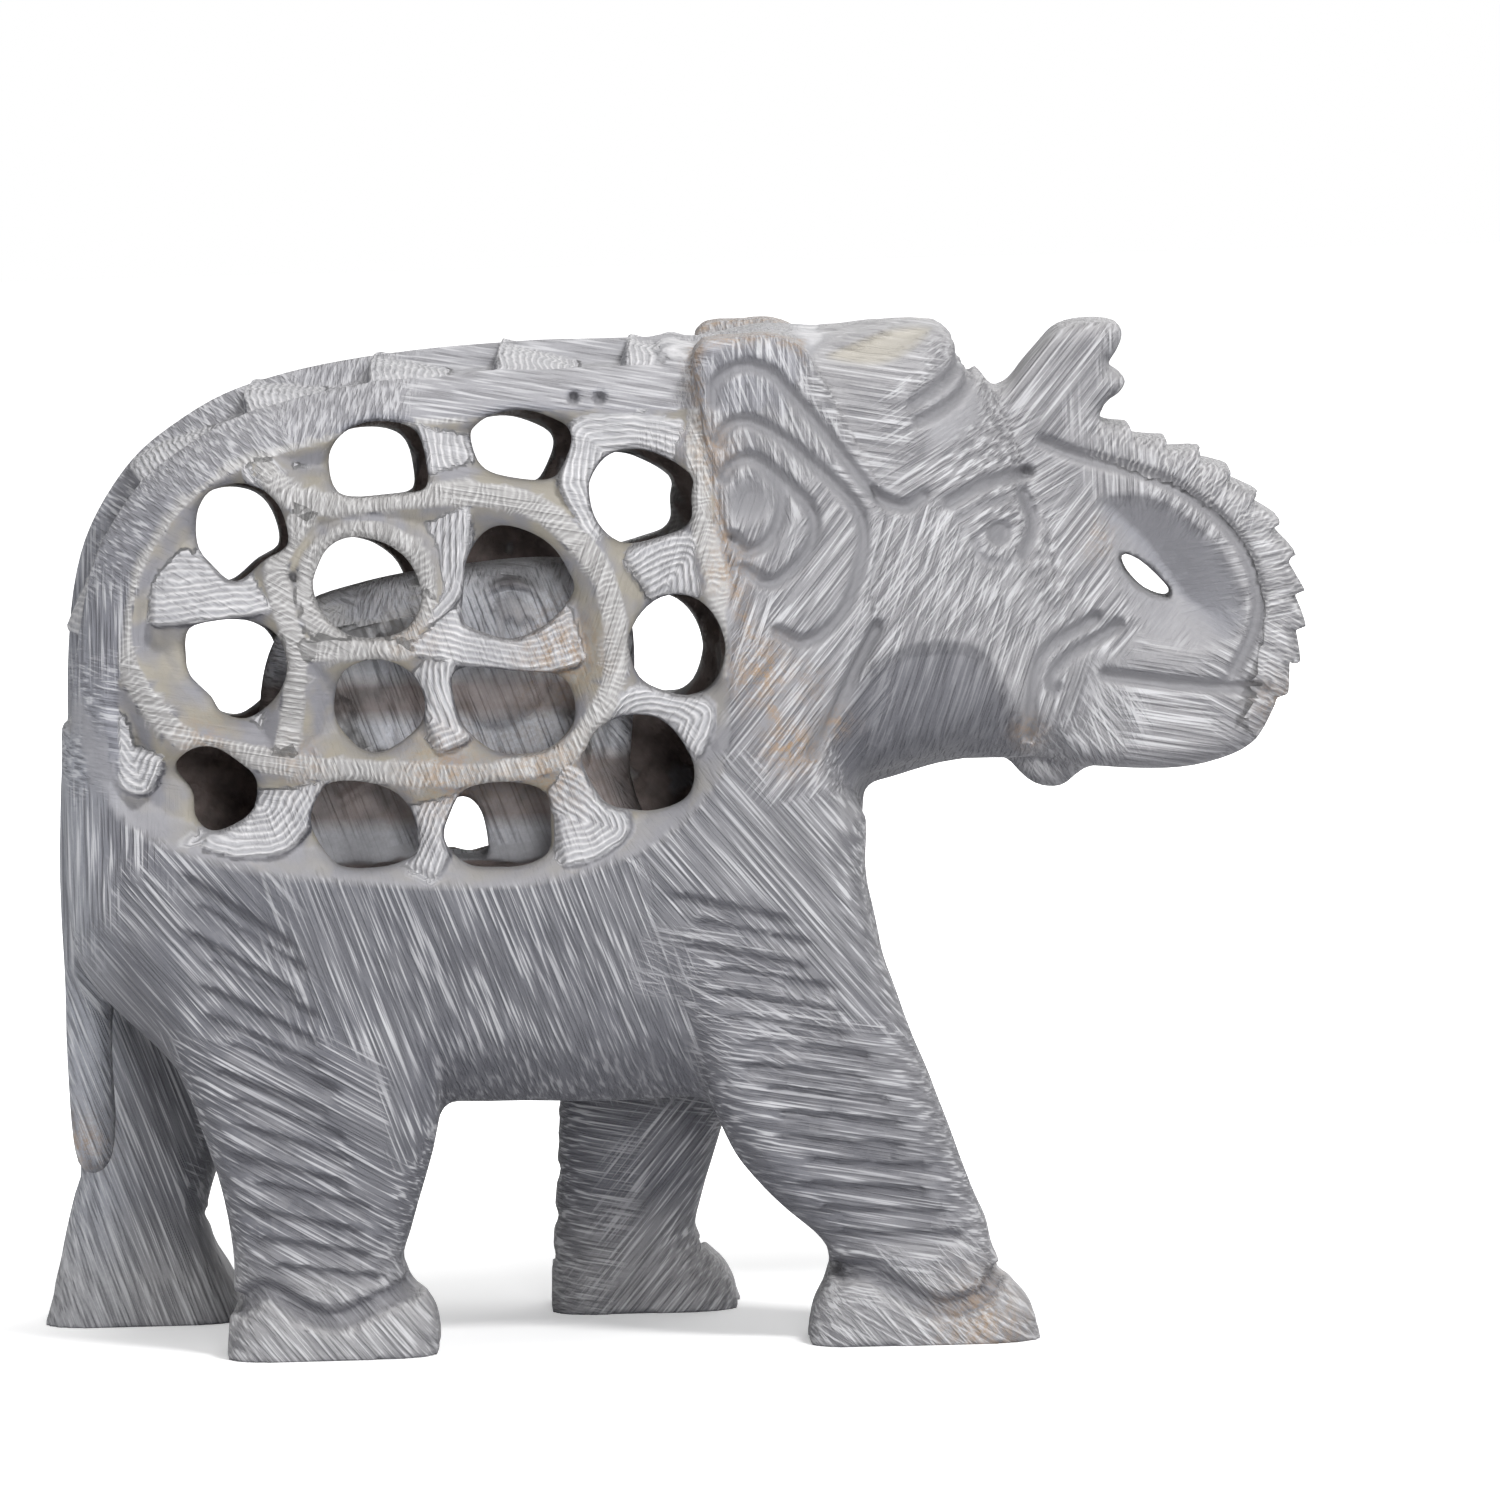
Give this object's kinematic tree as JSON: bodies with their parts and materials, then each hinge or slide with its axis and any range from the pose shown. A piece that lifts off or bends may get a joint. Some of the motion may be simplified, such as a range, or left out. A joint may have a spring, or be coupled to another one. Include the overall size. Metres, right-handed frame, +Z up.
{
  "type": "soapstone elephant sculpture",
  "caption": "Carved soapstone elephant with a raised trunk, its flanks pierced as a lattice around a smaller elephant cut from the same stone",
  "frame": {"origin": "middle of the bounding box, on the ground under the soles", "axes": "+X towards the elephant's head, +Z up, so -Y is the flank that the picture shows"},
  "size_m": [0.13, 0.0551, 0.1013],
  "materials": {
    "soapstone": "filed, matt, with pale scratches and ochre patches"
  },
  "bodies": {
    "root": {"elephant": "soapstone"}
  },
  "joints": []
}
